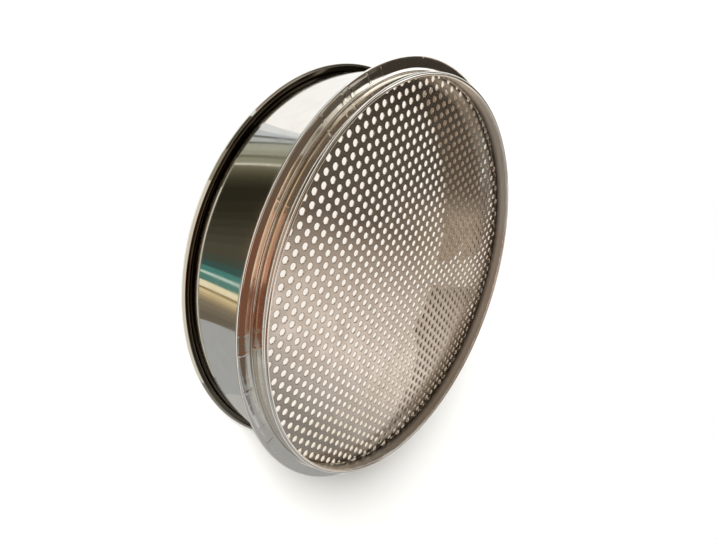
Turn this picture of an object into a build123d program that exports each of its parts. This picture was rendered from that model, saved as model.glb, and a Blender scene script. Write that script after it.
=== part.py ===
from build123d import *
import math
import os

# Test sieve, 200 mm x 50 mm: a perforated plate crimped between a drawn sheet frame and a skirt ring.
# It stands on its top rim with the skirt (the spigot that nests in the next sieve) upwards.
# The origin is the centre of the top rim's plane and +Z is the axis, from the mouth towards the skirt.

# frame
bore_radius = 100.0            # clear inside radius of the mouth
overall_height = 50.0          # rim plane to the skirt's lip
sheet = 0.7                    # stainless sheet of the frame and of the skirt
bend_radius = 1.2              # every plain bend, at the middle of the sheet
rim_width = 4.6                # curled rim, from the bore to its outside
rim_bead_radius = 1.15         # outside radius of the curl's own section
rim_curl_angle = 200           # degrees of curl, from the flat flange up and over towards the wall
seam_height = 41.3             # middle of the folded seam above the rim plane
seam_width = 6.0               # folded seam, from the bore to its outside
fold_width = 4.7               # the fold's reach over the skirt's flange, from its outside to its cut edge

# skirt
spigot_clearance = 0.35        # gap all round between a skirt and the mouth it nests in
lip_bead_radius = 0.95         # outside radius of the lip's curl
lip_curl_angle = 200           # degrees of curl, inwards and down

# perforated plate
plate_thickness = 1.0
edge_clearance = 0.25          # plate and skirt flange stop short of the fold's bend
hole_pitch = 11.2              # between neighbours of the 60 degree staggered pattern, about twice the real one
hole_width = 7.2               # across the corners, with as much open area as the real round holes have
hole_sides = 6                 # flats round each hole
field_margin = 1.4             # blank border between the bore and the nearest hole

# worked out from the above
half_sheet = sheet / 2
spigot_radius = bore_radius - spigot_clearance
seam_thickness = 3 * sheet + plate_thickness
fold_radius = seam_thickness / 2
flange_height = seam_height - fold_radius + half_sheet
plate_bottom = seam_height - fold_radius + sheet
plate_top = plate_bottom + plate_thickness
fold_centre = bore_radius + seam_width - fold_radius
cut_edge = bore_radius + seam_width - fold_width
clamped_radius = fold_centre - edge_clearance
rim_curl_centre = bore_radius + rim_width - rim_bead_radius
wall_middle = bore_radius + half_sheet
skirt_middle = spigot_radius - half_sheet


def frame_centre_line():
    """Middle of the frame's sheet: rim curl, rim flange, wall, seam flange and the fold over it."""
    curl_radius = rim_bead_radius - half_sheet
    curl = CenterArc((rim_curl_centre, rim_bead_radius), curl_radius, rim_curl_angle - 90, -rim_curl_angle)
    rim_flange = Line(curl @ 1, (wall_middle + bend_radius, half_sheet))
    rim_bend = JernArc(rim_flange @ 1, rim_flange % 1, bend_radius, -90)
    wall = Line(rim_bend @ 1, (wall_middle, flange_height - bend_radius))
    seam_bend = JernArc(wall @ 1, wall % 1, bend_radius, -90)
    seam_flange = Line(seam_bend @ 1, (fold_centre, flange_height))
    fold = JernArc(seam_flange @ 1, seam_flange % 1, fold_radius - half_sheet, 180)
    Line(fold @ 1, (cut_edge, flange_height + seam_thickness - sheet))


def skirt_centre_line():
    """Middle of the skirt's sheet: clamped flange, bend, spigot wall and the lip's inward curl."""
    curl_radius = lip_bead_radius - half_sheet
    clamped_height = plate_top + half_sheet
    flange = Line((clamped_radius, clamped_height), (skirt_middle + bend_radius, clamped_height))
    bend = JernArc(flange @ 1, flange % 1, bend_radius, -90)
    spigot = Line(bend @ 1, (skirt_middle, overall_height - lip_bead_radius))
    JernArc(spigot @ 1, spigot % 1, curl_radius, lip_curl_angle)


def hole_centres():
    """Centres of the staggered pattern that lie wholly inside the open field."""
    reach = bore_radius - field_margin - hole_width / 2
    row_spacing = hole_pitch * math.sqrt(3) / 2
    rows = math.ceil(reach / row_spacing)
    columns = math.ceil(reach / hole_pitch) + 1
    centres = []
    for row in range(-rows, rows + 1):
        shift = hole_pitch / 2 if row % 2 else 0
        for column in range(-columns, columns + 1):
            centre = (row * row_spacing, column * hole_pitch + shift)
            if math.hypot(*centre) <= reach:
                centres.append(centre)
    return centres


# Frame: one piece of sheet, spun and curled. Mouth at the bottom, folded seam at the top.
with BuildPart() as frame_shell:
    with BuildSketch(Plane.XZ):
        with BuildLine():
            frame_centre_line()
        trace(line_width=sheet)
    revolve(axis=Axis.Z)
frame_shell.part.label = "frame_shell"

# Perforated plate: a flat disc clamped in the seam, holes punched through its open field.
with BuildPart() as perforated_plate:
    with BuildSketch(Plane.XY.offset(plate_bottom)):
        Circle(clamped_radius)
        with Locations(*hole_centres()):
            RegularPolygon(hole_width / 2, hole_sides, mode=Mode.SUBTRACT)
    extrude(amount=plate_thickness)
perforated_plate.part.label = "perforated_plate"

# Skirt ring: clamped on the plate by its flange, with a straight spigot and a curled lip.
with BuildPart() as skirt_ring:
    with BuildSketch(Plane.XZ):
        with BuildLine():
            skirt_centre_line()
        trace(line_width=sheet)
    revolve(axis=Axis.Z)
skirt_ring.part.label = "skirt_ring"

os.makedirs("parts", exist_ok=True)
export_step(frame_shell.part, "parts/frame_shell.step")
export_step(perforated_plate.part, "parts/perforated_plate.step")
export_step(skirt_ring.part, "parts/skirt_ring.step")
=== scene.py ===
import math
import bpy
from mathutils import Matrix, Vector


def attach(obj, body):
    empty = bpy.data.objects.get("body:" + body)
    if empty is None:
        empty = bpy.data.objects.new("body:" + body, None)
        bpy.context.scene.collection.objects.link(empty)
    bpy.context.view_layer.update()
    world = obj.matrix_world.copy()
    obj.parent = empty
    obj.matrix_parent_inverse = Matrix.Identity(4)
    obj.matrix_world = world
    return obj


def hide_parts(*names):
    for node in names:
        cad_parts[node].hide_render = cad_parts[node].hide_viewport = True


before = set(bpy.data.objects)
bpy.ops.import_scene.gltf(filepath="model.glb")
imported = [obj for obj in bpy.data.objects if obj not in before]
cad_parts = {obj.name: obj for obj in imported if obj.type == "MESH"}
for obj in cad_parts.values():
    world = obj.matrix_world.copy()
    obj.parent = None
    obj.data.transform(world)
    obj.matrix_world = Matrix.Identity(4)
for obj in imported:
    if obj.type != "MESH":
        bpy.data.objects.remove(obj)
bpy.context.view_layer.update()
mm = 0.001

# sheet steel of the frame and the skirt, sizes in metres
sheetSteel = {
    "thickness": 0.7 * mm,
    "bendRadius": 1.2 * mm,      # at the middle of the sheet
    "ringSteps": 320,            # facets round every spun ring
    "bendSteps": 10,             # facets in each bend
    "joinGap": 0.01 * mm,
    "smoothAngle": 40,           # degrees; a sharper edge stays sharp
}


def onlySelect(piece):
    bpy.ops.object.select_all(action="DESELECT")
    piece.select_set(True)
    bpy.context.view_layer.objects.active = piece


def applyModifier(piece, kind, **settings):
    onlySelect(piece)
    modifier = piece.modifiers.new(kind.title(), kind)
    for key, value in settings.items():
        setattr(modifier, key, value)
    bpy.ops.object.modifier_apply(modifier=modifier.name)


# a sheet's middle line is drawn in the XZ plane with one extruded point;
# headings are in degrees from +X, and a bend of positive degrees turns left
pen = {"at": Vector((0, 0, 0)), "heading": 0.0}


def penDown(name, x, z, heading):
    bpy.ops.object.select_all(action="DESELECT")
    bpy.ops.mesh.primitive_plane_add(size=mm, location=(x, 0, z))
    piece = bpy.context.object
    piece.name = name
    bpy.ops.object.transform_apply(location=True, rotation=True, scale=True)
    bpy.ops.object.mode_set(mode="EDIT")
    bpy.ops.mesh.select_mode(type="VERT")
    bpy.ops.mesh.select_all(action="SELECT")
    bpy.ops.mesh.merge(type="CENTER")
    pen["at"] = Vector((x, 0, z))
    pen["heading"] = math.radians(heading)
    return piece


def penRun(length, rows=1):
    step = Vector((math.cos(pen["heading"]), 0, math.sin(pen["heading"]))) * length / rows
    for row in range(rows):
        bpy.ops.mesh.extrude_vertices_move(TRANSFORM_OT_translate={"value": step})
    pen["at"] = pen["at"] + step * rows


def penBend(radius, degrees, steps=sheetSteel["bendSteps"]):
    side = math.copysign(1, degrees)
    left = Vector((-math.sin(pen["heading"]), 0, math.cos(pen["heading"])))
    centre = pen["at"] + left * radius * side
    turn = math.radians(abs(degrees))
    bpy.ops.mesh.spin(steps=steps, angle=turn, center=centre, axis=(0, side, 0))
    pen["heading"] += math.radians(degrees)
    end = Vector((-math.sin(pen["heading"]), 0, math.cos(pen["heading"])))
    pen["at"] = centre - end * radius * side


# the drawn line turned round the axis, then given the sheet's thickness
def spinSheet(piece):
    bpy.ops.mesh.select_all(action="SELECT")
    bpy.ops.mesh.spin(steps=sheetSteel["ringSteps"], angle=math.tau, center=(0, 0, 0), axis=(0, 0, 1))
    bpy.ops.mesh.select_all(action="SELECT")
    bpy.ops.mesh.remove_doubles(threshold=sheetSteel["joinGap"])
    bpy.ops.mesh.normals_make_consistent(inside=False)
    bpy.ops.object.mode_set(mode="OBJECT")
    applyModifier(piece, "SOLIDIFY", thickness=sheetSteel["thickness"], offset=0, use_even_offset=True)
    bpy.ops.object.shade_smooth_by_angle(angle=math.radians(sheetSteel["smoothAngle"]))


frameShell = {
    "boreRadius": 100.0 * mm,
    "rimWidth": 4.6 * mm,
    "beadRadius": 1.15 * mm,
    "curlDegrees": 200,
    "curlSteps": 20,
    "seamHeight": 41.3 * mm,     # middle of the folded seam
    "seamWidth": 6.0 * mm,
    "foldWidth": 4.7 * mm,       # from the seam's outside to the cut edge
    "foldSteps": 12,
    "crownStart": 60,            # degrees past upright where the hem turns flatter
    "crownRadius": 5.0 * mm,
    "hemSteps": 10,
    "crownSteps": 8,
    "hemRows": 2,
    "wallRows": 12,
}


def makeFrameShell():
    half = sheetSteel["thickness"] / 2
    bend = sheetSteel["bendRadius"]
    bead = frameShell["beadRadius"]
    bore = frameShell["boreRadius"]
    curlCentre = bore + frameShell["rimWidth"] - bead
    curlStart = math.radians(frameShell["curlDegrees"] - 90)
    startX = curlCentre + (bead - half) * math.cos(curlStart)
    startZ = bead + (bead - half) * math.sin(curlStart)
    piece = penDown("polishedFrame", startX, startZ, frameShell["curlDegrees"] - 180)
    penBend(bead - half, -frameShell["curlDegrees"], frameShell["curlSteps"])
    penRun(curlCentre - (bore + half + bend))
    penBend(bend, -90)
    flangeHeight = plateBottom - half
    penRun(flangeHeight - half - 2 * bend, frameShell["wallRows"])
    penBend(bend, -90)
    penRun(foldCentre - (bore + half + bend))
    fold = seamThickness / 2 - half
    penBend(fold, 90, frameShell["foldSteps"])
    crown = frameShell["crownRadius"]
    rise = math.sin(math.radians(frameShell["crownStart"]))
    penBend((fold - crown * (1 - rise)) / rise, frameShell["crownStart"], frameShell["hemSteps"])
    penBend(crown, 90 - frameShell["crownStart"], frameShell["crownSteps"])
    cutEdge = bore + frameShell["seamWidth"] - frameShell["foldWidth"]
    penRun(pen["at"].x - cutEdge, frameShell["hemRows"])
    spinSheet(piece)
    return piece


skirtRing = {
    "spigotClearance": 0.35 * mm,
    "height": 50.0 * mm,
    "lipRadius": 0.95 * mm,
    "curlDegrees": 200,
    "curlSteps": 18,
    "wallRows": 4,
}


def makeSkirtRing():
    half = sheetSteel["thickness"] / 2
    bend = sheetSteel["bendRadius"]
    lip = skirtRing["lipRadius"]
    middle = frameShell["boreRadius"] - skirtRing["spigotClearance"] - half
    piece = penDown("polishedSkirt", clampedRadius, plateTop + half, 180)
    penRun(clampedRadius - middle - bend)
    penBend(bend, -90)
    penRun(skirtRing["height"] - lip - plateTop - half - bend, skirtRing["wallRows"])
    penBend(lip - half, skirtRing["curlDegrees"], skirtRing["curlSteps"])
    spinSheet(piece)
    return piece


perforatedPlate = {
    "thickness": 1.0 * mm,       # what the folded seam closes on
    "punchedThickness": 0.55 * mm,   # thin between the holes, so that they stay open at a low angle
    "edgeClearance": 0.25 * mm,
    "holeRadius": 1.575 * mm,
    "holePitch": 5.25 * mm,
    "holeSides": 18,
    "patternOffset": (-0.95 * mm, -0.64 * mm),
    "fieldRadius": 100.6 * mm,   # centres of the outermost holes
    "joinGap": 0.02 * mm,
    "marginEdge": 1.3,           # open edges longer than this many hole sides bound the blank margin
}
rowGap = perforatedPlate["holePitch"] * math.sqrt(3) / 2    # between the staggered rows


# one six-sided cell of the pattern with its hole
def makePlateCell():
    cellSides = 6
    cellRadius = perforatedPlate["holePitch"] / math.sqrt(3)
    bpy.ops.object.select_all(action="DESELECT")
    bpy.ops.mesh.primitive_circle_add(vertices=cellSides, radius=cellRadius, location=(0, 0, plateTop))
    cell = bpy.context.object
    bpy.ops.object.transform_apply(location=True, rotation=True, scale=True)
    bpy.ops.object.mode_set(mode="EDIT")
    bpy.ops.mesh.select_all(action="SELECT")
    bpy.ops.transform.rotate(value=math.radians(180 / cellSides), orient_axis="Z",
                             center_override=(0, 0, plateTop))
    bpy.ops.mesh.subdivide(number_cuts=perforatedPlate["holeSides"] // cellSides - 1)
    bpy.ops.mesh.extrude_edges_move()
    bpy.ops.transform.tosphere(value=1.0)
    bpy.ops.object.mode_set(mode="OBJECT")
    roundRadius = cell.data.vertices[-1].co.xy.length
    shrink = perforatedPlate["holeRadius"] / roundRadius
    bpy.ops.object.mode_set(mode="EDIT")
    bpy.ops.transform.resize(value=(shrink, shrink, 1), center_override=(0, 0, plateTop))
    bpy.ops.object.mode_set(mode="OBJECT")
    return cell


# rows of cells inside a circle, joined by a blank margin to the plate's edge
def makePerforatedPlate():
    pitch = perforatedPlate["holePitch"]
    reach = perforatedPlate["fieldRadius"]
    offsetX, offsetY = perforatedPlate["patternOffset"]
    cell = makePlateCell()
    rows = []
    halfRows = math.ceil(reach / rowGap) + 1
    for row in range(-halfRows, halfRows + 1):
        x = row * rowGap + offsetX
        if abs(x) >= reach:
            continue
        shift = offsetY + (pitch / 2 if row % 2 else 0)
        chord = math.sqrt(reach ** 2 - x ** 2)
        first = math.ceil((-chord - shift) / pitch)
        last = math.floor((chord - shift) / pitch)
        rowPiece = cell.copy()
        rowPiece.data = cell.data.copy()
        bpy.context.collection.objects.link(rowPiece)
        onlySelect(rowPiece)
        rowPiece.location = (x, first * pitch + shift, 0)
        bpy.ops.object.transform_apply(location=True)
        applyModifier(rowPiece, "ARRAY", count=last - first + 1, use_relative_offset=False,
                      use_constant_offset=True, constant_offset_displace=(0, pitch, 0))
        rows.append(rowPiece)
    bpy.data.objects.remove(cell)
    bpy.ops.object.select_all(action="DESELECT")
    bpy.ops.mesh.primitive_circle_add(vertices=sheetSteel["ringSteps"], radius=clampedRadius,
                                      location=(0, 0, plateTop))
    piece = bpy.context.object
    piece.name = "perforatedSheet"
    bpy.ops.object.transform_apply(location=True, rotation=True, scale=True)
    for rowPiece in rows:
        rowPiece.select_set(True)
    bpy.ops.object.join()
    bpy.ops.object.mode_set(mode="EDIT")
    bpy.ops.mesh.select_all(action="SELECT")
    bpy.ops.mesh.remove_doubles(threshold=perforatedPlate["joinGap"])
    bpy.ops.mesh.select_all(action="DESELECT")
    bpy.ops.mesh.select_mode(type="EDGE")
    bpy.ops.mesh.select_non_manifold()
    bpy.ops.object.mode_set(mode="OBJECT")
    holeSide = 2 * perforatedPlate["holeRadius"] * math.sin(math.pi / perforatedPlate["holeSides"])
    corners = piece.data.vertices
    for edge in piece.data.edges:
        length = (corners[edge.vertices[0]].co - corners[edge.vertices[1]].co).length
        edge.select = edge.select and length > perforatedPlate["marginEdge"] * holeSide
    bpy.ops.object.mode_set(mode="EDIT")
    bpy.ops.mesh.fill()
    bpy.ops.mesh.select_all(action="SELECT")
    bpy.ops.mesh.normals_make_consistent(inside=False)
    bpy.ops.object.mode_set(mode="OBJECT")
    applyModifier(piece, "SOLIDIFY", thickness=perforatedPlate["punchedThickness"], offset=-1)
    bpy.ops.object.shade_smooth_by_angle(angle=math.radians(sheetSteel["smoothAngle"]))
    return piece


# the stack of sheets in the folded seam
seamThickness = 3 * sheetSteel["thickness"] + perforatedPlate["thickness"]
plateBottom = frameShell["seamHeight"] - seamThickness / 2 + sheetSteel["thickness"]
plateTop = plateBottom + perforatedPlate["thickness"]
foldCentre = frameShell["boreRadius"] + frameShell["seamWidth"] - seamThickness / 2
clampedRadius = foldCentre - perforatedPlate["edgeClearance"]

polishedFrame = makeFrameShell()
print("frame spun", len(polishedFrame.data.polygons))
polishedSkirt = makeSkirtRing()
print("skirt spun", len(polishedSkirt.data.polygons))
perforatedSheet = makePerforatedPlate()
print("plate punched", len(perforatedSheet.data.polygons))
for piece, node, slotName in ((polishedFrame, "frame_shell", "polished_frame"),
                              (polishedSkirt, "skirt_ring", "polished_skirt"),
                              (perforatedSheet, "perforated_plate", "satin_plate")):
    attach(piece, "root")
    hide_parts(node)

# where the picture is taken from; turn in degrees, lens in millimetres
camera = {
    "location": (-199.1 * mm, 43.3 * mm, 159.8 * mm),
    "turn": (-21.75, -46.33, 14.64),
    "lens": 22.53,
    "shift": (0.0393, -0.0015),
    "clipStart": 0.01,
}
bpy.ops.object.camera_add(location=camera["location"],
                          rotation=[math.radians(turn) for turn in camera["turn"]])
mainCamera = bpy.context.object
mainCamera.data.lens = camera["lens"]
mainCamera.data.shift_x, mainCamera.data.shift_y = camera["shift"]
mainCamera.data.clip_start = camera["clipStart"]
bpy.context.scene.camera = mainCamera
bpy.context.scene.view_settings.view_transform = "Standard"


# sRGB hex to the linear colour that a socket takes
def linear(hexColour):
    channels = [int(hexColour[i:i + 2], 16) / 255 for i in (1, 3, 5)]
    return [c / 12.92 if c <= 0.04045 else ((c + 0.055) / 1.055) ** 2.4 for c in channels] + [1.0]


def clearNodes(owner):
    owner.use_nodes = True
    owner.node_tree.nodes.clear()
    return owner


def newMaterial(name):
    return clearNodes(bpy.data.materials.new(name))


# adds a node with its settings; i0, i1 and so on are inputs by number, others by name
def addNode(owner, kind, settings=None, **inputs):
    node = owner.node_tree.nodes.new("ShaderNode" + kind)
    for key, value in (settings or {}).items():
        setattr(node, key, value)
    for key, value in inputs.items():
        byNumber = key[0] == "i" and key[1:].isdigit()
        socket = node.inputs[int(key[1:]) if byNumber else key.replace("_", " ")]
        if isinstance(value, bpy.types.NodeSocket):
            owner.node_tree.links.new(value, socket)
        else:
            socket.default_value = value
    return node


frameFinish = {
    "lightSheet": "#FAF7F1",     # where the buffing wheel left it clean
    "dullSheet": "#EFEAE0",
    "roughness": (0.08, 0.14),
    "roughnessFrom": (0.35, 0.75),   # span of the scuffs' pattern
    "waveSize": 32 * mm,         # slow waves that the rolling left in the sheet
    "waveDepth": 0.06 * mm,
    "scuffSize": 7 * mm,
    "pleatSize": 5 * mm,         # small creases where the seam was folded over
    "pleatDepth": 0.06 * mm,
    "nickSize": 2.5 * mm,        # a few sharper nicks along the seam
    "nickDepth": 0.07 * mm,
    "nickFrom": (0.66, 0.80),    # only the pattern's peaks
    "pleatsAbove": 39.5 * mm,
    "pleatsFade": 1 * mm,
    "cornerShade": "#6A6255",     # painted shade: a dark band in the rim's corner, low on the wall's outside
    "shadeTop": 6.6 * mm,
    "shadeFade": 4 * mm,
    "shadeStart": (0.3 * mm, 0.5 * mm),   # outwards from the bore
    "shadeEdge": 103.1 * mm,
    "shadeEdgeFade": 0.5 * mm,
}

skirtFinish = {
    "insideRoughness": 0.34,     # the inside is only brushed
    "insideSheet": "#E2DACF",
    "insideShade": "#4E463C",     # painted shade in the corner over the plate
    "insideShadeFrom": 42.5 * mm,
    "insideShadeTop": 45.5 * mm,
    "insideRadius": 99.3 * mm,
    "insideFade": 0.1 * mm,
    "insideTop": 48.5 * mm,
    "insideTopFade": 0.2 * mm,
}


# a mask that is 1 where every value is past its step from start to end
def addMask(material, *steps):
    mask = 1.0
    for value, start, end in steps:
        step = addNode(material, "MapRange", Value=value, From_Min=start, From_Max=end).outputs["Result"]
        mask = addNode(material, "Math", {"operation": "MULTIPLY"}, i0=mask, i1=step).outputs["Value"]
    return mask


# mirror polished stainless steel: it shows what stands round it, a little wavy and scuffed
def makePolishedStainless(name, isFrame):
    material = newMaterial(name)
    place = addNode(material, "TexCoord").outputs["Object"]
    flat = addNode(material, "VectorMath", {"operation": "MULTIPLY"}, i0=place,
                   i1=(1, 1, 0)).outputs["Vector"]
    radius = addNode(material, "VectorMath", {"operation": "LENGTH"}, i0=flat).outputs["Value"]
    height = addNode(material, "SeparateXYZ", Vector=place).outputs["Z"]
    waves = addNode(material, "TexNoise", Vector=place, Scale=1 / frameFinish["waveSize"], Detail=0.0)
    scuffs = addNode(material, "TexNoise", Vector=place, Scale=1 / frameFinish["scuffSize"],
                     Detail=3.0).outputs["Fac"]
    colour = addNode(material, "MixRGB", Fac=scuffs, Color1=linear(frameFinish["lightSheet"]),
                     Color2=linear(frameFinish["dullSheet"])).outputs["Color"]
    low, high = frameFinish["roughness"]
    start, end = frameFinish["roughnessFrom"]
    rough = addNode(material, "MapRange", Value=scuffs, From_Min=start, From_Max=end,
                    To_Min=low, To_Max=high).outputs["Result"]
    normal = addNode(material, "Bump", Height=waves.outputs["Fac"],
                     Distance=frameFinish["waveDepth"]).outputs["Normal"]
    if isFrame:
        bore = frameShell["boreRadius"]
        aroundRing = addNode(material, "VectorMath", {"operation": "NORMALIZE"}, i0=flat).outputs["Vector"]
        seam = (height, frameFinish["pleatsAbove"] - frameFinish["pleatsFade"],
                frameFinish["pleatsAbove"] + frameFinish["pleatsFade"])
        pleats = addNode(material, "TexNoise", Vector=aroundRing, Scale=bore / frameFinish["pleatSize"],
                         Detail=1.0)
        creases = addNode(material, "Math", {"operation": "MULTIPLY"}, i0=pleats.outputs["Fac"],
                          i1=addMask(material, seam))
        normal = addNode(material, "Bump", Height=creases.outputs["Value"],
                         Distance=frameFinish["pleatDepth"], Normal=normal).outputs["Normal"]
        dents = addNode(material, "TexNoise", Vector=aroundRing, Scale=bore / frameFinish["nickSize"],
                        Detail=0.0)
        nicks = addMask(material, (dents.outputs["Fac"], *frameFinish["nickFrom"]), seam)
        normal = addNode(material, "Bump", Height=nicks, Distance=frameFinish["nickDepth"],
                         Normal=normal).outputs["Normal"]
        # painted shade: the corner between the rim and the foot of the wall is darkened, up to a few
        # millimetres high
        shadeTop, shadeEdge = frameFinish["shadeTop"], frameFinish["shadeEdge"]
        shadeStart, shadeFull = frameFinish["shadeStart"]
        cornerShadeMask = addMask(material,
                       (height, shadeTop, shadeTop - frameFinish["shadeFade"]),
                       (radius, bore + shadeStart, bore + shadeFull),
                       (radius, shadeEdge + frameFinish["shadeEdgeFade"], shadeEdge))
        colour = addNode(material, "MixRGB", Fac=cornerShadeMask, Color1=colour,
                         Color2=linear(frameFinish["cornerShade"])).outputs["Color"]
    else:
        edge, top = skirtFinish["insideRadius"], skirtFinish["insideTop"]
        inside = addMask(material,
                         (radius, edge + skirtFinish["insideFade"], edge - skirtFinish["insideFade"]),
                         (height, top + skirtFinish["insideTopFade"], top))
        rough = addNode(material, "MapRange", Value=inside, To_Min=rough,
                        To_Max=skirtFinish["insideRoughness"]).outputs["Result"]
        # painted shade: the inside darkens towards the plate
        insideShadeMask = addMask(material, (height, skirtFinish["insideShadeTop"], skirtFinish["insideShadeFrom"]))
        lining = addNode(material, "MixRGB", Fac=insideShadeMask, Color1=linear(skirtFinish["insideSheet"]),
                         Color2=linear(skirtFinish["insideShade"])).outputs["Color"]
        colour = addNode(material, "MixRGB", Fac=inside, Color1=colour, Color2=lining).outputs["Color"]
    shader = addNode(material, "BsdfPrincipled", Base_Color=colour, Metallic=1.0, Roughness=rough,
                     Normal=normal)
    addNode(material, "OutputMaterial", Surface=shader.outputs[0])
    return material


plateFinish = {
    "lightSheet": "#EEE8E0",
    "dullSheet": "#D2C8BC",
    "roughness": (0.16, 0.28),
    "roughnessFrom": (0.3, 0.7),     # span of the mottle's pattern
    "mottleSize": 9 * mm,
    "grainSize": 0.5 * mm,       # coarser than the real grain, so that it shows
    "grainDepth": 0.004 * mm,
    "holeEdgeShade": "#7A7168",     # painted shade round the edge of every hole
    "ringWidth": 0.30 * mm,
    "ringFull": 0.05 * mm,       # from the hole's edge
    "ringStart": (-0.02 * mm, 0.04 * mm),
    "holeWall": "#D8CFC5",       # sheared metal inside the holes
    "holeWallRoughness": 0.25,
    "holeWallTilt": 0.5,         # a face whose normal rises less than this is inside a hole
}


# rolled stainless sheet, not polished after punching: a soft cloudy shine, a fine grain, and painted shade
# at the hole edges
def makeRolledStainless():
    material = newMaterial("rolledStainless")
    place = addNode(material, "TexCoord").outputs["Object"]
    flat = addNode(material, "VectorMath", {"operation": "MULTIPLY"}, i0=place,
                   i1=(1, 1, 0)).outputs["Vector"]
    mottle = addNode(material, "TexNoise", Vector=place, Scale=1 / plateFinish["mottleSize"], Detail=5.0)
    grain = addNode(material, "TexNoise", Vector=place, Scale=1 / plateFinish["grainSize"], Detail=2.0)
    colour = addNode(material, "MixRGB", Fac=mottle.outputs["Fac"],
                     Color1=linear(plateFinish["lightSheet"]),
                     Color2=linear(plateFinish["dullSheet"])).outputs["Color"]
    halfPitch = perforatedPlate["holePitch"] / 2
    offsetX, offsetY = perforatedPlate["patternOffset"]
    distances = []    # from the nearest hole of the even and of the odd rows
    for startX, startY in ((offsetX, offsetY), (offsetX + rowGap, offsetY + halfPitch)):
        moved = addNode(material, "VectorMath", {"operation": "SUBTRACT"}, i0=flat,
                        i1=(startX, startY, 0))
        nearest = addNode(material, "VectorMath", {"operation": "WRAP"}, i0=moved.outputs["Vector"],
                          i1=(rowGap, halfPitch, 1), i2=(-rowGap, -halfPitch, -1))
        distances.append(addNode(material, "VectorMath", {"operation": "LENGTH"},
                                 i0=nearest.outputs["Vector"]))
    fromHole = addNode(material, "Math", {"operation": "MINIMUM"}, i0=distances[0].outputs["Value"],
                       i1=distances[1].outputs["Value"]).outputs["Value"]
    hole = perforatedPlate["holeRadius"]
    # painted shade in a thin ring round every hole
    ringInner, ringOuter = plateFinish["ringStart"]
    ring = addMask(material, (fromHole, hole + plateFinish["ringWidth"], hole + plateFinish["ringFull"]),
                   (fromHole, hole + ringInner, hole + ringOuter))
    colour = addNode(material, "MixRGB", Fac=ring, Color1=colour,
                     Color2=linear(plateFinish["holeEdgeShade"])).outputs["Color"]
    tilt = addNode(material, "SeparateXYZ", Vector=addNode(material, "NewGeometry").outputs["True Normal"])
    level = addNode(material, "Math", {"operation": "ABSOLUTE"}, i0=tilt.outputs["Z"]).outputs["Value"]
    inHole = addNode(material, "Math", {"operation": "LESS_THAN"}, i0=level,
                     i1=plateFinish["holeWallTilt"]).outputs["Value"]
    colour = addNode(material, "MixRGB", Fac=inHole, Color1=colour,
                     Color2=linear(plateFinish["holeWall"])).outputs["Color"]
    low, high = plateFinish["roughness"]
    start, end = plateFinish["roughnessFrom"]
    rough = addNode(material, "MapRange", Value=mottle.outputs["Fac"], From_Min=start, From_Max=end,
                    To_Min=low, To_Max=high)
    rough = addNode(material, "MapRange", Value=inHole, To_Min=rough.outputs["Result"],
                    To_Max=plateFinish["holeWallRoughness"])
    bump = addNode(material, "Bump", Height=grain.outputs["Fac"], Distance=plateFinish["grainDepth"])
    shader = addNode(material, "BsdfPrincipled", Base_Color=colour, Metallic=1.0,
                     Roughness=rough.outputs["Result"], Normal=bump.outputs["Normal"])
    addNode(material, "OutputMaterial", Surface=shader.outputs[0])
    return material


polishedFrame.data.materials.append(makePolishedStainless("polishedStainless", True))
polishedSkirt.data.materials.append(makePolishedStainless("polishedSkirtStainless", False))
perforatedSheet.data.materials.append(makeRolledStainless())
print("steel finished")

# what hangs round the sieve in the studio, which only reflections in the steel show:
# colour, azimuths and heights in degrees; a later one hangs nearer
studioPanels = {
    "brownRoom": ("#65574A", (0, 360), (12, 89.9)),
    "taupeCurtain": ("#5A544C", (-4, 60), (20, 60)),
    "reddishCeiling": ("#74503E", (170, 380), (60, 89.5)),
    "reddishShelf": ("#774737", (174, 226), (30, 60)),
    "greyWall": ("#A3A4A5", (226, 322), (0, 52)),
    "silverShelf": ("#C4C4C5", (234, 300), (40, 45)),
    "dimShelf": ("#7A7A7C", (234, 300), (45, 50)),
    "windowFrame": ("#7F7B76", (315, 323), (18, 58)),
    "windowEdge": ("#C9C4BF", (321, 328), (10, 58)),
    "windowLight": ("#F4EBE4", (328, 338), (10, 58)),
    "windowShade": ("#DACFC6", (338, 347), (10, 58)),
    "windowFade": ("#B0A59A", (347, 352), (10, 58)),
    "windowHaze": ("#BEB09E", (350, 362), (6, 31)),
    "darkCurtain": ("#3C3730", (16, 62), (18, 46)),
    "darkShelf": ("#4A453C", (50, 100), (8, 24)),
    "oliveLamp": ("#BAB8AF", (55, 84), (40, 47)),
    "strawLamp": ("#CBC8BE", (84, 118), (45, 52)),
    "creamLamp": ("#EEDAC4", (118, 200), (48, 60)),
    "tanLamp": ("#B89A84", (205, 230), (47, 53)),
    "pinkLamp": ("#BC8A74", (153, 192), (42, 48)),
}
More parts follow.
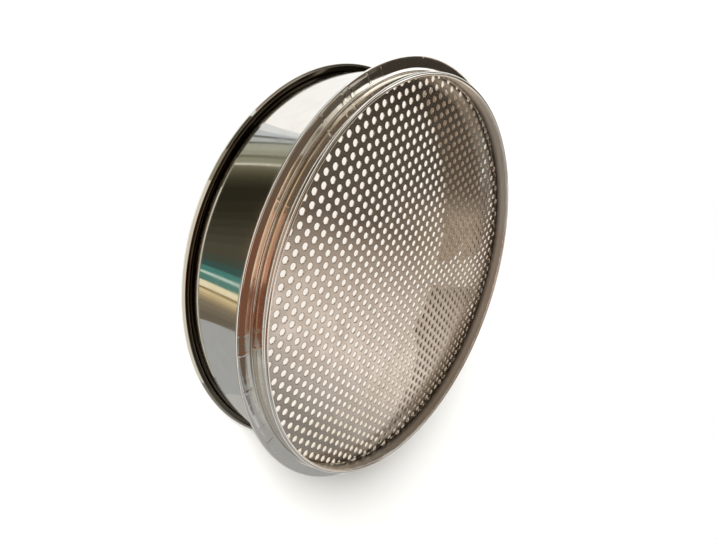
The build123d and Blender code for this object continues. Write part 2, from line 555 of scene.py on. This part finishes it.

# glowing sheets fanned out beside the wall, which only mirrors show, as painted reflections in the wall:
# colour, azimuth where each starts, lean of its edge, in degrees;
# a later one lies over the one before
fannedSheets = {
    "palePaper": ("#DDE0E2", 140.5, -6.0),
    "bluePaper": ("#BFC4CA", 143.0, -7.0),
    "pencilLine": ("#6A6C6A", 144.8, -8.5),
    "silverPaper": ("#B4B8B8", 145.5, -8.5),
    "secondLine": ("#62635C", 147.0, -9.0),
    "greyCloth": ("#A4A699", 147.6, -9.0),
    "mistCloth": ("#999A8A", 149.7, -8.6),
    "oliveThread": ("#73725F", 151.0, -8.0),
    "sageCloth": ("#8C8C79", 151.8, -7.6),
    "chalkLine": ("#CCCABA", 153.4, -7.4),
    "oliveCard": ("#706C5A", 154.0, -7.2),
    "mossCard": ("#656150", 154.7, -7.1),
    "oliveFelt": ("#5A5645", 155.4, -7.0),
    "barkFelt": ("#504D3D", 156.1, -6.8),
    "darkOliveCard": ("#464334", 156.8, -6.6),
    "peatCard": ("#3F3C2E", 157.5, -6.4),
    "brownFelt": ("#383427", 158.2, -6.2),
    "sootFelt": ("#312E22", 159.1, -6.1),
    "blackFelt": ("#2A271D", 160.0, -6.0),
    "coalFelt": ("#2E2B20", 163.8, -5.3),
    "darkFelt": ("#333025", 166.5, -4.6),
    "loamFelt": ("#39362B", 168.2, -3.8),
    "mossFelt": ("#3F3C30", 170.0, -3.0),
    "fernFelt": ("#454236", 171.8, -2.0),
    "mossCloth": ("#4B483B", 173.5, -1.0),
    "pineCloth": ("#444B41", 176.4, 0.4),
    "pineCard": ("#3A5450", 177.8, 1.6),
    "tealCard": ("#4A7F79", 179.0, 3.0),
    "tealThread": ("#B9CFC4", 180.3, 3.6),
    "tealCloth": ("#548078", 180.9, 4.0),
    "creamCard": ("#EADFBE", 182.6, 4.6),
    "brownThread": ("#8A7A58", 184.2, 5.0),
    "sandCard": ("#D2BE94", 184.7, 5.4),
    "strawCard": ("#B9A782", 185.6, 5.6),
    "khakiCard": ("#A08F70", 186.4, 5.8),
    "canvasCard": ("#8F8269", 187.0, 5.9),
    "brownCard": ("#7E7462", 187.6, 6.0),
    "clayCard": ("#746B5C", 189.0, 6.0),
    "umberCard": ("#6A6256", 190.5, 6.0),
    "greyPaper": ("#A4A6A7", 193.1, 6.0),
    "silverCloth": ("#B4B4B2", 219.0, 4.0),
}

# glowing flat cards on the floor or a little over it, which only mirrors show, as painted reflections in
# the steel: colour, azimuths in degrees, radii and height in millimetres
floorCards = {
    "oliveUnderside": ("#4E4B3C", (142, 152), (103.2, 107), 2.9),
    "dullUnderside": ("#8B8879", (152, 160), (103.2, 128), 2.9),
    "paleUnderside": ("#D2CEC2", (160, 212), (103.2, 128), 2.9),
    "darkUnderside": ("#83817D", (212, 300), (103.2, 128), 2.9),
    "outerGrey": ("#C4C0B8", (114, 121), (130, 240), 0.3),
    "outerTaupe": ("#857D70", (121, 137), (130, 240), 0.3),
    "outerDark": ("#544D3D", (137, 153), (130, 240), 0.3),
    "outerBrown": ("#75654F", (153, 161), (130, 240), 0.3),
    "outerPink": ("#A98F78", (161, 186), (130, 240), 0.3),
    "outerPaper": ("#A59C90", (186, 300), (130, 240), 0.3),
    "insideBrown": ("#8E7B68", (-30, 90), (57, 93), 0.3),
    "insidePink": ("#93806D", (-28, 90), (12, 57), 0.3),
    "insideFar": ("#85725F", (60, 180), (0.5, 85), 0.32),
    "insideNear": ("#6E5D50", (180, 262), (0.5, 42), 0.32),
    "insideGap": ("#FFFFFF", (122, 178), (4, 48), 0.4),
    "insideDark": ("#4A3C33", (-31, -11), (8, 90), 0.35),
    "insideWhite": ("#FFFFFF", (-10, -1), (57, 99.5), 0.4),
    "raisedWhite": ("#FFFFFF", (-8, 3), (60, 99), 20),
}

studioPlaces = {
    "panelDistance": 1.6,        # metres, of the farthest panel
    "panelSpacing": 0.02,
    "panelRows": 12,
    "degreesPerStep": 3,
    "fannedInner": 103.5 * mm,
    "fannedOuter": 128 * mm,
    "fannedHeight": 3 * mm,
    "fannedSpacing": 0.02 * mm,
    "fannedEnd": 300,            # azimuth where all the sheets stop
}


# the drawn line turned from one azimuth to the other; rotate turns the other way, so its angle is negative
def spinRound(start, end):
    steps = max(2, round((end - start) / studioPlaces["degreesPerStep"]))
    bpy.ops.mesh.select_all(action="SELECT")
    bpy.ops.mesh.spin(steps=steps, angle=math.radians(end - start), center=(0, 0, 0), axis=(0, 0, -1))
    bpy.ops.mesh.select_all(action="SELECT")
    bpy.ops.transform.rotate(value=-math.radians(start), orient_axis="Z", center_override=(0, 0, 0))


# a glowing card that mirrors show and that lights nothing else
def reflectionOnly(card, colour):
    bpy.ops.object.mode_set(mode="OBJECT")
    paint = newMaterial(card.name + "Paint")
    glow = addNode(paint, "Emission", Color=linear(colour))
    addNode(paint, "OutputMaterial", Surface=glow.outputs[0])
    card.data.materials.append(paint)
    for ray in ("camera", "diffuse", "transmission", "volume_scatter", "shadow"):
        setattr(card, "visible_" + ray, False)


for order, (name, (colour, azimuths, heights)) in enumerate(studioPanels.items()):
    distance = studioPlaces["panelDistance"] - studioPlaces["panelSpacing"] * order
    low, high = heights
    panel = penDown(name, distance * math.cos(math.radians(low)), distance * math.sin(math.radians(low)),
                    low + 90)
    penBend(distance, high - low, studioPlaces["panelRows"])
    spinRound(*azimuths)
    reflectionOnly(panel, colour)
for name, (colour, azimuths, (inner, outer), height) in floorCards.items():
    card = penDown(name, inner * mm, height * mm, 0)
    penRun((outer - inner) * mm)
    spinRound(*azimuths)
    reflectionOnly(card, colour)
for order, (name, (colour, start, lean)) in enumerate(fannedSheets.items()):
    card = penDown(name, studioPlaces["fannedInner"],
                   studioPlaces["fannedHeight"] + studioPlaces["fannedSpacing"] * order, 0)
    spinRound(start, studioPlaces["fannedEnd"])
    bpy.ops.mesh.extrude_edges_move()
    grow = studioPlaces["fannedOuter"] / studioPlaces["fannedInner"]
    bpy.ops.transform.resize(value=(grow, grow, 1), center_override=(0, 0, 0))
    bpy.ops.transform.rotate(value=-math.radians(lean), orient_axis="Z", center_override=(0, 0, 0))
    reflectionOnly(card, colour)
print("panels and cards placed", len(studioPanels) + len(floorCards) + len(fannedSheets))

# white lamps that only the skirt shows: azimuths and heights in degrees, brightness where 1 is white
skirtLamps = {
    "topLamp": ((22, 74), (29, 43), 1.3),
    "topFadeLamp": ((74, 98), (33, 45), 0.6),
    "lipLamp": ((158, 206), (24, 34), 0.7),
    "ceilingLamp": ((275, 335), (58, 84), 1.0),
}

studioLight = {
    "skirtLampDistance": 1.2,    # metres, as the other distances and the floor's size
    "floorSize": 6,
    "floorColour": "#F4F4F2",
    "fillColour": "#FFFCF4",     # what light the shadow gets
    "fillStrength": 0.34,
    "lampTurn": (135, 21),       # azimuth and height, degrees
    "lampDistance": 2,
    "lampSpread": 26,            # degrees across, for a soft shadow edge
    "lampStrength": 8.0,
}

# a pale glowing card in the mouth, for what shows through the holes: painted light, pale where the floor
# under the sieve lies in shade
mouthGlow = {
    "radius": 100.8 * mm,
    "height": 0.15 * mm,
    "corners": 96,
    "colour": "#F8F0E6",
}


def direction(azimuth, height):
    a, h = math.radians(azimuth), math.radians(height)
    return Vector((math.cos(h) * math.cos(a), math.cos(h) * math.sin(a), math.sin(h)))


# a lamp that faces the origin
def addLamp(kind, place):
    bpy.ops.object.light_add(type=kind, location=place, rotation=place.to_track_quat("Z", "Y").to_euler())
    return bpy.context.object


# light linking keeps these lamps to the skirt; pi times the area times 1 watt looks white
skirtOnly = bpy.data.collections.new("skirtOnly")
skirtOnly.objects.link(polishedSkirt)
for name, (azimuths, heights, brightness) in skirtLamps.items():
    middle = direction(sum(azimuths) / 2, sum(heights) / 2)
    distance = studioLight["skirtLampDistance"]
    lamp = addLamp("AREA", middle * distance)
    lamp.name = name
    lamp.data.shape = "RECTANGLE"
    lamp.data.size = distance * math.radians(azimuths[1] - azimuths[0]) * middle.xy.length
    lamp.data.size_y = distance * math.radians(heights[1] - heights[0])
    lamp.data.energy = math.pi * lamp.data.size * lamp.data.size_y * brightness
    lamp.light_linking.receiver_collection = skirtOnly
    lamp.visible_camera = False


# the shader from above and clear from below, so that the underside can be looked at through it
def showFromAbove(paint, shader):
    clear = addNode(paint, "BsdfTransparent")
    mix = addNode(paint, "MixShader", i0=addNode(paint, "NewGeometry").outputs["Backfacing"],
                  i1=shader.outputs[0], i2=clear.outputs[0])
    addNode(paint, "OutputMaterial", Surface=mix.outputs[0])


# white under everything that looks straight at it or mirrors it; diffuse light still casts the shadow
def makeWhiteFloor():
    paint = newMaterial("whiteFloor")
    diffuse = addNode(paint, "BsdfDiffuse", Color=linear(studioLight["floorColour"]))
    glow = addNode(paint, "Emission", Color=(1, 1, 1, 1))
    path = addNode(paint, "LightPath")
    seen = addNode(paint, "Math", {"operation": "MAXIMUM"}, i0=path.outputs["Is Glossy Ray"],
                   i1=path.outputs["Is Transmission Ray"])
    mix = addNode(paint, "MixShader", i0=seen.outputs[0], i1=diffuse.outputs[0], i2=glow.outputs[0])
    showFromAbove(paint, mix)
    return paint


bpy.ops.object.select_all(action="DESELECT")
bpy.ops.mesh.primitive_plane_add(size=studioLight["floorSize"])
floor = bpy.context.object
floor.name = "floor"
floor.data.materials.append(makeWhiteFloor())
bpy.ops.mesh.primitive_circle_add(vertices=mouthGlow["corners"], radius=mouthGlow["radius"],
                                  fill_type="NGON", location=(0, 0, mouthGlow["height"]))
mouthCard = bpy.context.object
mouthCard.name = "mouthCard"
cardPaint = newMaterial("whiteMouthCard")
showFromAbove(cardPaint, addNode(cardPaint, "Emission", Color=linear(mouthGlow["colour"])))
mouthCard.data.materials.append(cardPaint)
mouthCard.visible_diffuse = False
mouthCard.visible_shadow = False

softLamp = addLamp("SUN", direction(*studioLight["lampTurn"]) * studioLight["lampDistance"])
softLamp.data.angle = math.radians(studioLight["lampSpread"])
softLamp.data.energy = studioLight["lampStrength"]
softLamp.visible_glossy = False

# a white world that gives diffuse rays only the fill
studioWorld = clearNodes(bpy.data.worlds.new("studio"))
whiteSky = addNode(studioWorld, "Background", Color=(1, 1, 1, 1))
fillSky = addNode(studioWorld, "Background", Color=linear(studioLight["fillColour"]),
                  Strength=studioLight["fillStrength"])
skyMix = addNode(studioWorld, "MixShader", i0=addNode(studioWorld, "LightPath").outputs["Is Diffuse Ray"],
                 i1=whiteSky.outputs[0], i2=fillSky.outputs[0])
addNode(studioWorld, "OutputWorld", Surface=skyMix.outputs[0])
bpy.context.scene.world = studioWorld
print("studio lit")
